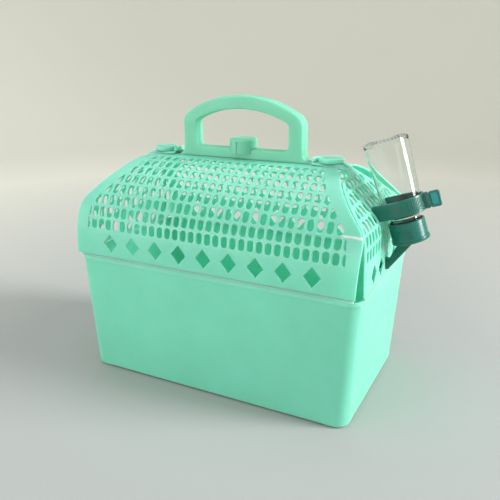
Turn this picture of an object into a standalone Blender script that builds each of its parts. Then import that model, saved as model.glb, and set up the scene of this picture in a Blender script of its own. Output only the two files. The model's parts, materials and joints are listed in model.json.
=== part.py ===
"""Small-animal carrier of moulded plastic: an open tub, four flaps that fold up into a
vaulted lid, a split carrying handle with its snap fastenings, and a drinking bottle.

Metres, +Z up. X runs along the carrier (the bottle is at +X), the front is at -Y, and the
origin is the centre of the tub's underside.
"""

import math

import bmesh
import bpy
from mathutils import Matrix, Vector

# Tub
RIM_LENGTH = 0.320
RIM_DEPTH = 0.1774
BASE_LENGTH = 0.302
BASE_DEPTH = 0.172
TUB_TOP = 0.1328
TUB_WALL = 0.002
CORNER_RADIUS = 0.013
CORNER_STEPS = 6
RIM_BAND_HEIGHT = 0.004
RIM_BAND_PROUD = 0.0007
FOOT_HEIGHT = 0.0015
FOOT_LENGTH = 0.022
FOOT_WIDTH = 0.005

# Gaps left between pieces that touch, and living hinges
GAP = 0.0003
CUT_PAST = 0.0030
OVERLAP = 0.0002
HINGE_Z = 0.1339
HINGE_HALF_HEIGHT = 0.0007
HINGE_THICKNESS = 0.0007
WEB_SHORT_OF_CORNER = 0.0070
FLAP_BOTTOM = 0.1350

# Vault that the front and rear flaps make: an upright strip, then a quarter circle
SHEET = 0.0018
STRIP_MIDDLE_Z = 0.1440
FACE_Y = 0.0887
VAULT_RADIUS = 0.0834
VAULT_SPRING_Z = 0.1530
VAULT_CENTRE_Y = FACE_Y - VAULT_RADIUS
RIDGE_Z = VAULT_SPRING_Z + VAULT_RADIUS
VAULT_STEPS = 16
SEAM = 0.00015

# Outline of an end flap seen along Y: upright, then a slope, then level under the button
END_FOOT_X = 0.1600
END_KNEE = (0.1575, 0.1910)
END_CREST = (0.1111, 0.2389)
KNEE_RADIUS = 0.028
CREST_RADIUS = 0.016
END_FOOT_HALF = 0.079
SLANT_Z = 0.1880
EDGE_GAP = 0.0006
NECK_LOW = 0.2284
NECK_HIGH = 0.2300
STRAP_ROOT_Z = 0.2330
SLOPE_STEPS = 8
BEND_SHARE = 0.7

# Diamonds in the upright strips
DIAMOND_WIDTH = 0.0175
DIAMOND_HEIGHT = 0.0200
DIAMOND_Z = 0.1505
DIAMOND_PITCH = 0.0284
DIAMOND_CUT = 0.0200
LONG_DIAMONDS = 9
END_DIAMOND_Z = 0.1475
END_DIAMOND_PITCH = 0.0240
END_DIAMONDS = 5

# Handle, one half to each long flap
HANDLE_THICKNESS = 0.0145
HANDLE_OUTER_HALF = 0.0690
HANDLE_INNER_HALF = 0.0536
HANDLE_TOP = 0.3008
HANDLE_SHOULDER = 0.0140
CROWN_RADIUS = 0.1180
GRIP_HEIGHT = 0.0135
BAR_TOP = 0.2470
FOOT_FLARE = 0.0095
OPENING_RADIUS = 0.0055
OPENING_CROWN = 0.1150

# Snap fastenings
BUTTON_X = 0.097
STUD_RADIUS = 0.0055
STUD_LIP = 0.0065
STUD_TOP = 0.2416
STRAP_HALF = 0.0120
STRAP_TIP_X = 0.0800
STRAP_THICKNESS = 0.0020
STRAP_TOP = END_CREST[1]
CAP_RADIUS = 0.0125
CAP_BORE = 0.0095
CAP_TOP = 0.2438
LIP_HEIGHT = 0.0045
LIP_THICKNESS = 0.0020
LIP_HALF = 0.0084
CLIP_RADIUS = 0.0145
CLIP_LOW = 0.2425
CLIP_TOP = 0.2572
CLIP_BORE = 0.0065
CLIP_PLAY = 0.0004
CLIP_STUD_TOP = 0.2525
CLIP_STUD_EDGE = 0.0010
CAP_EDGE = 0.0015
CAP_CEILING = 0.0016

# Drinking bottle, upside down and leaning along the end flap
BOTTLE_Y = -0.0040
BOTTLE_FOOT_X = 0.1815
BOTTLE_FOOT_Z = 0.1708
BOTTLE_LEAN = math.radians(18.7)
BOTTLE_LENGTH = 0.0995
BODY_LOW = 0.0298
BODY_LOW_RADIUS = 0.0183
BODY_TOP_RADIUS = 0.0210
BOTTLE_WALL = 0.0012
NECK_RADIUS = 0.0135
THREAD_RADIUS = 0.0145
THREAD_HEIGHTS = (0.0080, 0.0150, 0.0226)
MOUTH = 0.0038
SHOULDER = 0.0246
BOTTLE_BASE = 0.0016
SCREW_CAP_RADIUS = 0.0172
SCREW_CAP_HEIGHT = 0.0205
SCREW_CAP_WALL = 0.0018
BEAD_PROUD = 0.0008
BEAD_LEVELS = (0.0042, 0.0036, 0.0010)
CAP_FLOOR = 0.0016
WASHER_BORE = 0.0105
WASHER_HEIGHTS = (0.0019, 0.0034)
BAND_LOW = 0.0276
BAND_HEIGHT = 0.0152
BAND_INNER = 0.0195
BAND_THICKNESS = 0.0020
BAND_REACH = 0.0230
SLOT_PLAY = 0.0008
CLASP_LENGTH = 0.0125
CLASP_THICKNESS = 0.0030
KNUCKLE_RADIUS = 0.0018
LUG_HEIGHT = 0.0025
SPOUT_HALF = 0.0045
SPOUT_TIP_X = 0.1440
SPOUT_LOW = 0.1400
SPOUT_HIGH = 0.1500
SPOUT_SLOT_HIGH = 0.1540
SPOUT_ROOT = (0.0040, -0.0125)
CUP_WALL = 0.0013

MINT = (0.24, 0.66, 0.45, 1.0)
TEAL = (0.01, 0.16, 0.13, 1.0)
BRIGHT_TEAL = (0.01, 0.33, 0.33, 1.0)
CLEAR = (0.86, 0.92, 0.90, 1.0)
RUBBER = (0.75, 0.75, 0.72, 1.0)


# ---------------------------------------------------------------- materials and meshes


def plastic(name, colour, roughness):
    """A Principled material, made once for each name."""
    material = bpy.data.materials.get(name)
    if material:
        return material
    material = bpy.data.materials.new(name)
    material.use_nodes = True
    shader = material.node_tree.nodes["Principled BSDF"]
    shader.inputs["Base Color"].default_value = colour
    shader.inputs["Roughness"].default_value = roughness
    shader.inputs["Metallic"].default_value = 0.0
    return material


def mint():
    return plastic("mint_plastic", MINT, 0.38)


def teal():
    return plastic("teal_plastic", TEAL, 0.30)


def place(name, bm, material, parent=None):
    """Turn a closed bmesh, drawn in world coordinates, into an object under its parent."""
    bmesh.ops.remove_doubles(bm, verts=bm.verts, dist=1e-7)
    bmesh.ops.recalc_face_normals(bm, faces=bm.faces)
    mesh = bpy.data.meshes.new(name)
    if parent:
        bmesh.ops.translate(bm, verts=bm.verts, vec=-parent.location)
    bm.to_mesh(mesh)
    bm.free()
    obj = bpy.data.objects.new(name, mesh)
    bpy.context.scene.collection.objects.link(obj)
    mesh.materials.append(material)
    mesh.shade_smooth()
    mesh.set_sharp_from_angle(angle=math.radians(35))
    if parent:
        obj.parent = parent
    return obj


def pivot(name, location):
    """An empty on a joint's axis."""
    empty = bpy.data.objects.new(name, None)
    empty.location = location
    bpy.context.scene.collection.objects.link(empty)
    return empty


def loft(rings):
    """Closed solid through rings of equal length, with both ends filled."""
    bm = bmesh.new()
    made = [[bm.verts.new(point) for point in ring] for ring in rings]
    for low, high in zip(made, made[1:]):
        for i in range(len(low)):
            j = (i + 1) % len(low)
            bm.faces.new((low[i], low[j], high[j], high[i]))
    bm.faces.new(made[0])
    bm.faces.new(made[-1])
    return bm


def prism(outline, normal, thickness):
    """Extrude a closed outline of points along a vector of the given length."""
    step = Vector(normal).normalized() * thickness
    return loft([outline, [Vector(point) + step for point in outline]])


def box(low, high):
    """Axis-aligned box between two corners."""
    corners = [(low[0], low[1]), (high[0], low[1]), (high[0], high[1]), (low[0], high[1])]
    return loft([[(x, y, z) for x, y in corners] for z in (low[2], high[2])])


def cut(obj, bm):
    """Take the shape in bm, drawn in world coordinates, out of the object."""
    cutter = place(obj.name + "_cutter", bm, obj.data.materials[0], obj.parent)
    cutter.hide_render = True
    cutter.display_type = "WIRE"
    modifier = obj.modifiers.new("cut", "BOOLEAN")
    modifier.operation = "DIFFERENCE"
    modifier.object = cutter


def join(obj, bm):
    """Add the shape in bm, which must overlap the object."""
    cut(obj, bm)
    obj.modifiers[-1].name = "join"
    obj.modifiers[-1].operation = "UNION"


def circle(radius, steps, centre=(0.0, 0.0), start=0.0, sweep=math.tau):
    """Points round an arc; a full circle leaves out the repeated last point."""
    count = steps if abs(sweep - math.tau) < 1e-9 else steps + 1
    angles = [start + sweep * i / steps for i in range(count)]
    return [(centre[0] + radius * math.cos(a), centre[1] + radius * math.sin(a)) for a in angles]


def rounded_corner(before, corner, after, radius, steps):
    """Points of the arc that rounds one corner of a 2-D path."""
    corner = Vector(corner)
    back = (Vector(before) - corner).normalized()
    ahead = (Vector(after) - corner).normalized()
    half = back.angle(ahead) / 2
    reach = radius / math.tan(half)
    centre = corner + (back + ahead).normalized() * radius / math.sin(half)
    start = corner + back * reach - centre
    end = corner + ahead * reach - centre
    turn = start.angle_signed(end)
    return [centre + Matrix.Rotation(-turn * i / steps, 2) @ start for i in range(steps + 1)]


# ---------------------------------------------------------------- the tub


def rounded_rectangle(length, depth, radius, z):
    ring = []
    for quarter in range(4):
        side_x = 1 if quarter in (0, 3) else -1
        side_y = 1 if quarter in (0, 1) else -1
        centre = (side_x * (length / 2 - radius), side_y * (depth / 2 - radius))
        arc = circle(radius, CORNER_STEPS, centre, quarter * math.pi / 2, math.pi / 2)
        ring += [(x, y, z) for x, y in arc]
    return ring


def make_tub():
    band = 2 * RIM_BAND_PROUD
    wall = 2 * TUB_WALL
    band_z = TUB_TOP - RIM_BAND_HEIGHT
    body_length = RIM_LENGTH - band
    body_depth = RIM_DEPTH - band
    inner = CORNER_RADIUS - TUB_WALL
    rings = [
        rounded_rectangle(BASE_LENGTH, BASE_DEPTH, CORNER_RADIUS, 0),
        rounded_rectangle(body_length, body_depth, CORNER_RADIUS, band_z - RIM_BAND_PROUD),
        rounded_rectangle(RIM_LENGTH, RIM_DEPTH, CORNER_RADIUS, band_z),
        rounded_rectangle(RIM_LENGTH, RIM_DEPTH, CORNER_RADIUS, TUB_TOP),
        rounded_rectangle(body_length - wall, body_depth - wall, inner, TUB_TOP),
        rounded_rectangle(BASE_LENGTH - wall, BASE_DEPTH - wall, inner, TUB_WALL),
    ]
    tub = place("tub", loft(rings), mint())
    far_x = BASE_LENGTH / 2
    far_y = BASE_DEPTH / 2
    for side in (-1, 1):
        across = sorted((side * (far_y - FOOT_WIDTH), side * (far_y + FOOT_WIDTH)))
        along = far_x - FOOT_LENGTH
        cut(tub, box((-along, across[0], -FOOT_HEIGHT), (along, across[1], FOOT_HEIGHT)))
        across = sorted((side * (far_x - FOOT_WIDTH), side * (far_x + FOOT_WIDTH)))
        along = far_y - FOOT_LENGTH
        cut(tub, box((across[0], -along, -FOOT_HEIGHT), (across[1], along, FOOT_HEIGHT)))


# ---------------------------------------------------------------- outlines of the lid


def vault_line(inset):
    """(y, z) points of the front half of the vault, from the rim to the ridge."""
    radius = VAULT_RADIUS - inset
    points = [(-FACE_Y + inset, FLAP_BOTTOM), (-FACE_Y + inset, STRIP_MIDDLE_Z)]
    for i in range(VAULT_STEPS + 1):
        angle = math.pi / 2 * i / VAULT_STEPS
        y = -VAULT_CENTRE_Y - radius * math.cos(angle)
        points.append((y, VAULT_SPRING_Z + radius * math.sin(angle)))
    return points + [(-SEAM, points[-1][1])]


def vault_half_width(z, inset):
    """Half width of the vault, measured inset inside its outer face, at height z."""
    if z <= VAULT_SPRING_Z:
        return FACE_Y - inset
    radius = VAULT_RADIUS - inset
    rise = min(z - VAULT_SPRING_Z, radius)
    return VAULT_CENTRE_Y + math.sqrt(radius * radius - rise * rise)


def end_line(inset):
    """(x, z) points of an end flap's profile, from the rim to the strap's tip."""
    slope = Vector(END_CREST) - Vector(END_KNEE)
    foot = Vector((END_FOOT_X, FLAP_BOTTOM))
    rise = Vector(END_KNEE) - foot
    tip = Vector((STRAP_TIP_X, END_CREST[1]))
    side_in = Vector((-rise.y, rise.x)).normalized() * inset
    slope_in = Vector((-slope.y, slope.x)).normalized() * inset
    down = Vector((0, -inset))
    knee = meeting(foot + side_in, rise, Vector(END_KNEE) + slope_in, slope)
    crest = meeting(Vector(END_KNEE) + slope_in, slope, tip + down, Vector((1, 0)))
    foot = Vector((END_FOOT_X - inset, FLAP_BOTTOM))
    points = [foot, foot.lerp(knee, 0.4)]
    points += rounded_corner(foot, knee, crest, KNEE_RADIUS - inset, 6)
    bend = rounded_corner(knee, crest, tip + down, CREST_RADIUS - inset, 4)
    points += [points[-1].lerp(bend[0], i / SLOPE_STEPS) for i in range(1, SLOPE_STEPS)]
    points += bend
    return points + [tip + down]


def meeting(point, direction, other, other_direction):
    """Where two 2-D lines cross."""
    across = direction.x * other_direction.y - direction.y * other_direction.x
    apart = other - point
    share = (apart.x * other_direction.y - apart.y * other_direction.x) / across
    return point + direction * share


def x_on_line(line, z):
    """X of a rising (x, z) line at height z."""
    if z <= line[0][1]:
        return line[0][0]
    for low, high in zip(line, line[1:]):
        if low[1] <= z <= high[1] and high[1] > low[1]:
            share = (z - low[1]) / (high[1] - low[1])
            return low[0] + share * (high[0] - low[0])
    return line[-1][0]


def split_line(line, z):
    """The parts of a rising (x, z) line below and above height z."""
    point = Vector((x_on_line(line, z), z))
    below = [p for p in line if p[1] < z - 1e-6]
    above = [p for p in line if p[1] > z + 1e-6]
    return below + [point], [point] + above


def sheet(outer, inner):
    """Closed sheet between two grids of points with the same rows and columns."""
    bm = bmesh.new()
    faces = [[[bm.verts.new(p) for p in row] for row in grid] for grid in (outer, inner)]
    rows = len(outer)
    columns = len(outer[0])
    for grid in faces:
        for r in range(rows - 1):
            for c in range(columns - 1):
                bm.faces.new((grid[r][c], grid[r][c + 1], grid[r + 1][c + 1], grid[r + 1][c]))
    border = [(0, c) for c in range(columns)] + [(r, columns - 1) for r in range(1, rows)]
    border += [(rows - 1, c) for c in range(columns - 2, -1, -1)]
    border += [(r, 0) for r in range(rows - 2, 0, -1)]
    for (r, c), (r2, c2) in zip(border, border[1:] + border[:1]):
        bm.faces.new((faces[0][r][c], faces[0][r2][c2], faces[1][r2][c2], faces[1][r][c]))
    return bm


def diamond_cutter(centre, across, through, depth):
    """Diamond prism: across is its horizontal direction, through its cutting direction."""
    across = Vector(across) * DIAMOND_WIDTH / 2
    up = Vector((0, 0, DIAMOND_HEIGHT / 2))
    through = Vector(through)
    start = Vector(centre) - through * depth / 2
    return prism([start + across, start + up, start - across, start - up], through, depth)


# ---------------------------------------------------------------- long flaps and handle


def make_long_flap(name, side, hinge):
    """One long flap; side is -1 at the front and 1 at the rear."""
    edge = end_line(SHEET + EDGE_GAP)
    grids = []
    for inset in (0.0, SHEET):
        grid = []
        for (y, z), (_, outer_z) in zip(vault_line(inset), vault_line(0.0)):
            half = x_on_line(edge, min(outer_z, edge[-1][1] - 1e-4))
            grid.append([(-half, -side * y, z), (0.0, -side * y, z), (half, -side * y, z)])
        grids.append(grid)
    flap = place(name, sheet(*grids), mint(), hinge)
    for i in range(LONG_DIAMONDS):
        x = (i - (LONG_DIAMONDS - 1) / 2) * DIAMOND_PITCH
        centre = (x, side * FACE_Y, DIAMOND_Z)
        cut(flap, diamond_cutter(centre, (1, 0, 0), (0, 1, 0), DIAMOND_CUT))


def handle_outline():
    """(x, z) points round the handle, anticlockwise from the right foot."""
    low = RIDGE_Z + GAP
    foot = HANDLE_OUTER_HALF + FOOT_FLARE
    right = [(foot, low)]
    right += circle(FOOT_FLARE, 5, (foot, low + FOOT_FLARE), -math.pi / 2, -math.pi / 2)[1:]
    right += crown(HANDLE_OUTER_HALF, HANDLE_TOP, HANDLE_SHOULDER, CROWN_RADIUS)
    return right + [(-x, z) for x, z in reversed(right[:-1])]


def crown(half, top, shoulder, radius):
    """Right half of a crowned top: a small arc at the shoulder, then a large one."""
    across = half - shoulder
    turn = math.acos(across / (radius - shoulder))
    middle = top - radius
    low = (across, middle + (radius - shoulder) * math.sin(turn))
    points = circle(shoulder, 5, low, 0, turn)
    return points[:-1] + circle(radius, 6, (0.0, middle), turn, math.pi / 2 - turn)


def opening_outline():
    """(x, z) points round the hand opening."""
    low = BAR_TOP
    edge = HANDLE_INNER_HALF - OPENING_RADIUS
    right = circle(OPENING_RADIUS, 4, (edge, low + OPENING_RADIUS), -math.pi / 2, math.pi / 2)
    right += crown(HANDLE_INNER_HALF, HANDLE_TOP - GRIP_HEIGHT, OPENING_RADIUS, OPENING_CROWN)
    return right + [(-x, z) for x, z in reversed(right[:-1])]


def make_handle_half(name, side, hinge):
    thickness = HANDLE_THICKNESS / 2 - SEAM
    start = side * SEAM
    outline = [(x, start, z) for x, z in handle_outline()]
    half = place(name, prism(outline, (0, side, 0), thickness), mint(), hinge)
    hole = [(x, start - side * CUT_PAST, z) for x, z in opening_outline()]
    cut(half, prism(hole, (0, side, 0), thickness + 2 * CUT_PAST))


def half_disc(radius, side, x, z, steps=8):
    """Half circle on one side of the seam, in a level plane."""
    start = 0.0 if side > 0 else math.pi
    arc = circle(radius, steps, (x, side * SEAM), start, math.pi)
    return [(px, py, z) for px, py in arc]


def make_half_stud(name, side, x, low, top, hinge):
    """Half of a stud with a lip; its flat side faces the other flap's half."""
    lip = (low + top) / 2
    slope = STUD_LIP - STUD_RADIUS
    rings = [
        half_disc(STUD_RADIUS, side, x, low),
        half_disc(STUD_RADIUS, side, x, lip),
        half_disc(STUD_LIP, side, x, lip + slope),
        half_disc(STUD_LIP, side, x, top - slope),
        half_disc(STUD_RADIUS, side, x, top),
    ]
    place(name, loft(rings), mint(), hinge)


def make_clip_stud(name, side, hinge):
    low = BAR_TOP + GAP
    rings = [
        half_disc(STUD_RADIUS, side, 0.0, low),
        half_disc(STUD_RADIUS, side, 0.0, CLIP_STUD_TOP - CLIP_STUD_EDGE),
        half_disc(STUD_RADIUS - CLIP_STUD_EDGE, side, 0.0, CLIP_STUD_TOP),
    ]
    place(name, loft(rings), mint(), hinge)


def make_centre_clip(hinge):
    """Round clip that presses down over both bars of the handle."""
    ring = circle(CLIP_RADIUS, 28)
    crown = circle(CLIP_RADIUS - CAP_EDGE, 28)
    rings = [
        [(x, y, CLIP_LOW) for x, y in ring],
        [(x, y, CLIP_TOP - CAP_EDGE) for x, y in ring],
        [(x, y, CLIP_TOP) for x, y in crown],
    ]
    clip = place("centre_clip", loft(rings), mint(), hinge)
    bars = HANDLE_THICKNESS / 2 + CLIP_PLAY
    far = 2 * CLIP_RADIUS
    cut(clip, box((-far, -bars, CLIP_LOW - CUT_PAST), (far, bars, BAR_TOP + CLIP_PLAY)))
    bore = circle(CLIP_BORE, 20)
    levels = (BAR_TOP - CUT_PAST, CLIP_STUD_TOP + 2 * CLIP_PLAY)
    cut(clip, loft([[(x, y, z) for x, y in bore] for z in levels]))


# ---------------------------------------------------------------- end flaps and straps


def end_flap_profile(inset):
    """Profile of an end flap up to its strap, with points where its neck starts and ends."""
    points = []
    rest = end_line(inset)
    for z in (NECK_LOW, NECK_HIGH, STRAP_ROOT_Z):
        below, rest = split_line(rest, z - inset * BEND_SHARE)
        points += below[:-1]
    return points + [rest[0]]


def end_flap_half_widths(z):
    """Half widths of an end flap at height z: its straight slanted edge and its curved one.

    The slant starts at SLANT_Z. The other edge follows the vault as far as the neck.
    """
    rise = max(0.0, z - SLANT_Z) / (STRAP_ROOT_Z - SLANT_Z)
    slanted = END_FOOT_HALF + rise * (STRAP_HALF - END_FOOT_HALF)
    left = min(1.0, max(0.0, (NECK_HIGH - z) / (NECK_HIGH - NECK_LOW)))
    curved = STRAP_HALF + left * (END_FOOT_HALF - STRAP_HALF)
    vault = vault_half_width(z, SHEET) - EDGE_GAP
    return min(slanted, vault), min(curved, vault)


def make_end_flap(name, side, hinge):
    """Sloping flap at one end; side is -1 at the left and 1 at the right.

    Both ends are the same moulding, turned round. At the right the drinking spout takes the
    place of the middle diamond.
    """
    outer = end_flap_profile(0.0)
    inner = end_flap_profile(SHEET)
    grids = []
    for line in (outer, inner):
        grid = []
        for (x, z), (_, outer_z) in zip(line, outer):
            slanted, curved = end_flap_half_widths(outer_z)
            grid.append([(side * x, side * y, z) for y in (-curved, 0.0, slanted)])
        grids.append(grid)
    flap = place(name, sheet(*grids), mint(), hinge)
    middle = END_DIAMONDS // 2
    for i in range(END_DIAMONDS):
        centre = (side * END_FOOT_X, (i - middle) * END_DIAMOND_PITCH, END_DIAMOND_Z)
        if side < 0 or i != middle:
            cut(flap, diamond_cutter(centre, (0, 1, 0), (1, 0, 0), DIAMOND_CUT))
    return flap


def make_strap(name, side, hinge):
    """Strap that carries the end flap over the ridge, with a hole and a finger lip."""
    root_z = STRAP_ROOT_Z + GAP
    outer = split_line(end_line(0.0), root_z)[1]
    inner = split_line(end_line(STRAP_THICKNESS), root_z - STRAP_THICKNESS * BEND_SHARE)[1]
    tip = STRAP_TIP_X
    outer = outer[:-1] + [Vector((tip, STRAP_TOP))]
    inner = inner[:-1] + [Vector((tip, STRAP_TOP - STRAP_THICKNESS))]
    grids = []
    for line in (outer, inner):
        grids.append([[(side * x, y * STRAP_HALF, z) for y in (-1, 0, 1)] for x, z in line])
    strap = place(name, sheet(*grids), mint(), hinge)
    levels = (STRAP_TOP - STRAP_THICKNESS - CUT_PAST, STRAP_TOP + CUT_PAST)
    bore = circle(CAP_BORE, 20, (side * BUTTON_X, 0.0))
    cut(strap, loft([[(x, y, z) for x, y in bore] for z in levels]))
    near = side * (tip - OVERLAP)
    far = side * (tip + LIP_THICKNESS)
    low = (min(near, far), -LIP_HALF, STRAP_TOP - STRAP_THICKNESS / 2)
    high = (max(near, far), LIP_HALF, STRAP_TOP + LIP_HEIGHT)
    join(strap, box(low, high))


def make_snap_cap(name, side, hinge):
    """Hollow round cap on the strap, which presses over the split stud."""
    centre = (side * BUTTON_X, 0.0)
    low = STRAP_TOP + GAP
    rings = []
    levels = (
        (CAP_BORE, CAP_TOP - CAP_CEILING),
        (CAP_BORE, low),
        (CAP_RADIUS, low),
        (CAP_RADIUS, CAP_TOP - CAP_EDGE),
        (CAP_RADIUS - CAP_EDGE, CAP_TOP),
    )
    for radius, z in levels:
        rings.append([(x, y, z) for x, y in circle(radius, 24, centre)])
    place(name, loft(rings), mint(), hinge)


def make_hinge_webs():
    """Thin living hinges between the rim and the flaps."""
    low = HINGE_Z - HINGE_HALF_HEIGHT
    high = HINGE_Z + HINGE_HALF_HEIGHT
    long_half = RIM_LENGTH / 2 - WEB_SHORT_OF_CORNER
    end_half = END_FOOT_HALF - TUB_WALL
    for name, side in (("front", -1), ("rear", 1)):
        across = sorted((side * FACE_Y, side * (FACE_Y - HINGE_THICKNESS)))
        web = box((-long_half, across[0], low), (long_half, across[1], high))
        place(name + "_living_hinge", web, mint())
    for name, side in (("left", -1), ("right", 1)):
        across = sorted((side * END_FOOT_X, side * (END_FOOT_X - HINGE_THICKNESS)))
        web = box((across[0], -end_half, low), (across[1], end_half, high))
        place(name + "_living_hinge", web, mint())


# ---------------------------------------------------------------- drinking bottle


def bottle_frame():
    """World matrix whose Z runs up the bottle and whose X points away from the flap."""
    lean = Matrix.Rotation(-BOTTLE_LEAN, 4, "Y")
    return Matrix.Translation((BOTTLE_FOOT_X, BOTTLE_Y, BOTTLE_FOOT_Z)) @ lean


def make_bottle(hinge):
    """Hollow bottle with its mouth down, two thread rings on its neck."""
    inner_neck = NECK_RADIUS - BOTTLE_WALL
    top = BOTTLE_LENGTH
    outside = [(NECK_RADIUS, MOUTH)]
    for height in THREAD_HEIGHTS:
        outside += [(NECK_RADIUS, height - 0.0012), (THREAD_RADIUS, height - 0.0004)]
        outside += [(THREAD_RADIUS, height + 0.0004), (NECK_RADIUS, height + 0.0012)]
    outside += [(NECK_RADIUS, SHOULDER), (BODY_LOW_RADIUS - 0.0010, BODY_LOW - 0.0018)]
    outside += [(BODY_LOW_RADIUS, BODY_LOW), (BODY_TOP_RADIUS, top - 0.0040)]
    outside += [(BODY_TOP_RADIUS - 0.0012, top - 0.0011), (BODY_TOP_RADIUS - 0.0040, top)]
    inside = [(BODY_TOP_RADIUS - 0.0050, top - BOTTLE_BASE)]
    inside += [(BODY_TOP_RADIUS - BOTTLE_WALL, top - 0.0060)]
    inside += [(BODY_LOW_RADIUS - BOTTLE_WALL, BODY_LOW + 0.0010)]
    inside += [(inner_neck, SHOULDER + 0.0010), (inner_neck, MOUTH)]
    bm = loft_through(turned_rings(outside), turned_rings(inside))
    glass = plastic("clear_plastic", CLEAR, 0.05)
    place("water_bottle", bm, glass, hinge)


def turned_rings(levels, steps=28):
    frame = bottle_frame()
    rings = []
    for radius, height in levels:
        rings.append([frame @ Vector((x, y, height)) for x, y in circle(radius, steps)])
    return rings


def loft_through(outside, inside):
    """Shell with one mouth: the outside rings start at the mouth, the inside ones end there."""
    bm = bmesh.new()
    outer = [[bm.verts.new(point) for point in ring] for ring in outside]
    inner = [[bm.verts.new(point) for point in ring] for ring in inside]
    for rings in (outer, inner, [inner[-1], outer[0]]):
        for low, high in zip(rings, rings[1:]):
            for i in range(len(low)):
                j = (i + 1) % len(low)
                bm.faces.new((low[i], low[j], high[j], high[i]))
    bm.faces.new(outer[-1])
    bm.faces.new(inner[0])
    return bm


def make_screw_cap(hinge):
    radius = SCREW_CAP_RADIUS
    bead = radius + BEAD_PROUD
    bore = radius - SCREW_CAP_WALL
    top = SCREW_CAP_HEIGHT
    outside = [(radius, top), (radius, BEAD_LEVELS[0])]
    outside += [(bead, BEAD_LEVELS[1]), (bead, BEAD_LEVELS[2]), (radius - 2 * GAP, 0.0)]
    inside = [(bore, CAP_FLOOR), (bore, top)]
    shell = loft_through(turned_rings(outside), turned_rings(inside))
    place("screw_cap", shell, teal(), hinge)
    rim = bore - 2 * GAP
    washer = [(radius, height) for radius in (WASHER_BORE, rim) for height in WASHER_HEIGHTS]
    washer = [washer[1], washer[0], washer[2], washer[3]]
    place("cap_washer", ring_of(washer), plastic("washer_rubber", RUBBER, 0.8), hinge)


def ring_of(levels, steps=28):
    """Closed ring whose section is the given loop of (radius, height) levels."""
    bm = bmesh.new()
    rings = [[bm.verts.new(p) for p in ring] for ring in turned_rings(levels, steps)]
    for low, high in zip(rings, rings[1:] + rings[:1]):
        for i in range(steps):
            j = (i + 1) % steps
            bm.faces.new((low[i], low[j], high[j], high[i]))
    return bm


def band_outline(radius, reach):
    """Open U in the bottle's level plane: from the rear arm's end round to the front arm's."""
    arc = circle(radius, 16, (0.0, 0.0), math.pi / 2, -math.pi)
    return [(-reach, radius)] + arc + [(-reach, -radius)]


def make_bracket(flap, hinge):
    """U-shaped band whose arms hook through the end flap."""
    frame = bottle_frame()
    outer = BAND_INNER + BAND_THICKNESS
    inner = list(reversed(band_outline(BAND_INNER, BAND_REACH)))
    outline = band_outline(outer, BAND_REACH) + inner
    start = [frame @ Vector((x, y, BAND_LOW)) for x, y in outline]
    up = frame.to_3x3() @ Vector((0, 0, 1))
    bracket = place("bottle_bracket", prism(start, up, BAND_HEIGHT), teal(), hinge)
    add_clasp_lugs(bracket)
    for side in (-1, 1):
        y = side * (BAND_INNER + BAND_THICKNESS / 2)
        half = BAND_THICKNESS / 2 + SLOT_PLAY
        low = BAND_LOW - SLOT_PLAY
        high = BAND_LOW + BAND_HEIGHT + SLOT_PLAY
        far = -2 * BAND_REACH
        corners = [(far, y - half), (0.0, y - half), (0.0, y + half), (far, y + half)]
        cut(flap, band_prism(corners, low, high))


def clasp_centre():
    """Distance of the clasp's hinge axis from the bottle's."""
    return BAND_INNER + BAND_THICKNESS + GAP + KNUCKLE_RADIUS


def band_prism(outline, low, high):
    """Prism with its outline in the bottle's level plane, between two heights along it."""
    frame = bottle_frame()
    return loft([[frame @ Vector((x, y, z)) for x, y in outline] for z in (low, high)])


def add_clasp_lugs(bracket):
    """Two round-ended lugs that hold the clasp's knuckle between them."""
    centre = clasp_centre()
    end = circle(KNUCKLE_RADIUS, 8, (centre, 0.0), -math.pi / 2, math.pi)
    root = BAND_INNER + BAND_THICKNESS / 2
    outline = end + [(root, KNUCKLE_RADIUS), (root, -KNUCKLE_RADIUS)]
    top = BAND_LOW + BAND_HEIGHT
    join(bracket, band_prism(outline, BAND_LOW - OVERLAP, BAND_LOW + LUG_HEIGHT))
    join(bracket, band_prism(outline, top - LUG_HEIGHT, top + OVERLAP))


def make_clasp(hinge):
    """Tab that locks the band at its outer side, turning between the two lugs."""
    centre = clasp_centre()
    half = CLASP_THICKNESS / 2
    knuckle = circle(KNUCKLE_RADIUS, 8, (centre, 0.0), math.pi / 2, math.pi)
    inner = centre + KNUCKLE_RADIUS + GAP
    neck = inner + OVERLAP
    knuckle += [(neck, -half), (neck, half)]
    outer = centre + CLASP_LENGTH
    plate = [(inner, -half), (outer, -half), (outer, half), (inner, half)]
    top = BAND_LOW + BAND_HEIGHT
    low = BAND_LOW + LUG_HEIGHT + GAP
    shape = band_prism(knuckle, low, top - LUG_HEIGHT - GAP)
    clasp = place("band_clasp", shape, plastic("bright_teal_plastic", BRIGHT_TEAL, 0.3), hinge)
    join(clasp, band_prism(plate, BAND_LOW, top))


def spout_section(x_low, z_low, x_high, z_high, half):
    """Four-cornered section of the spout; low is its underside."""
    low = [(x_low, BOTTLE_Y - half, z_low), (x_low, BOTTLE_Y + half, z_low)]
    return low + [(x_high, BOTTLE_Y + half, z_high), (x_high, BOTTLE_Y - half, z_high)]


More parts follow.
